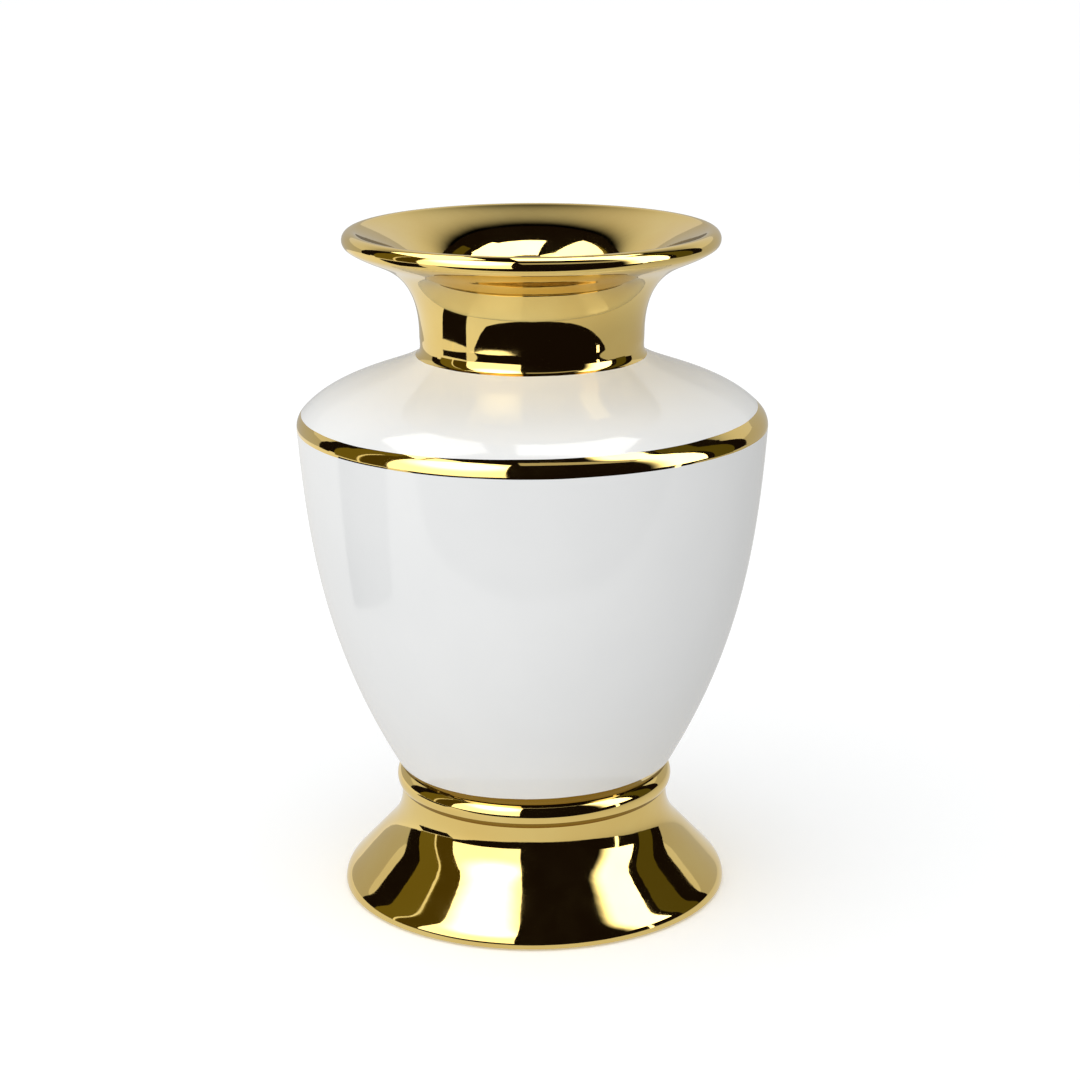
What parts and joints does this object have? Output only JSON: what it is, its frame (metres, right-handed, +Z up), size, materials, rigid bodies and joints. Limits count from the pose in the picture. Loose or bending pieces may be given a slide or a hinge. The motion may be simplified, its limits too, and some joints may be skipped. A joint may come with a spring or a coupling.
{
  "type": "porcelain vase",
  "caption": "Footed baluster vase in white glazed porcelain with gold lustre foot, collar, shoulder band, neck and rolled lip.",
  "frame": {"origin": "centre of the foot on the surface that the vase stands on", "axes": "+Z up along the vase's axis of revolution; X and Y are level and interchangeable"},
  "size_m": [0.1244, 0.1244, 0.18],
  "materials": {
    "gold_lustre": "mirror-bright gold lustre fired over the glaze",
    "white_glaze": "high-gloss white glaze",
    "bare_porcelain": "unglazed, ground smooth"
  },
  "bodies": {
    "root": {"foot_ring": "bare_porcelain", "floor": "white_glaze", "foot": "gold_lustre", "collar": "gold_lustre", "belly": "white_glaze", "shoulder_band": "gold_lustre", "shoulder": "white_glaze", "neck": "gold_lustre", "lip": "gold_lustre"}
  },
  "joints": []
}
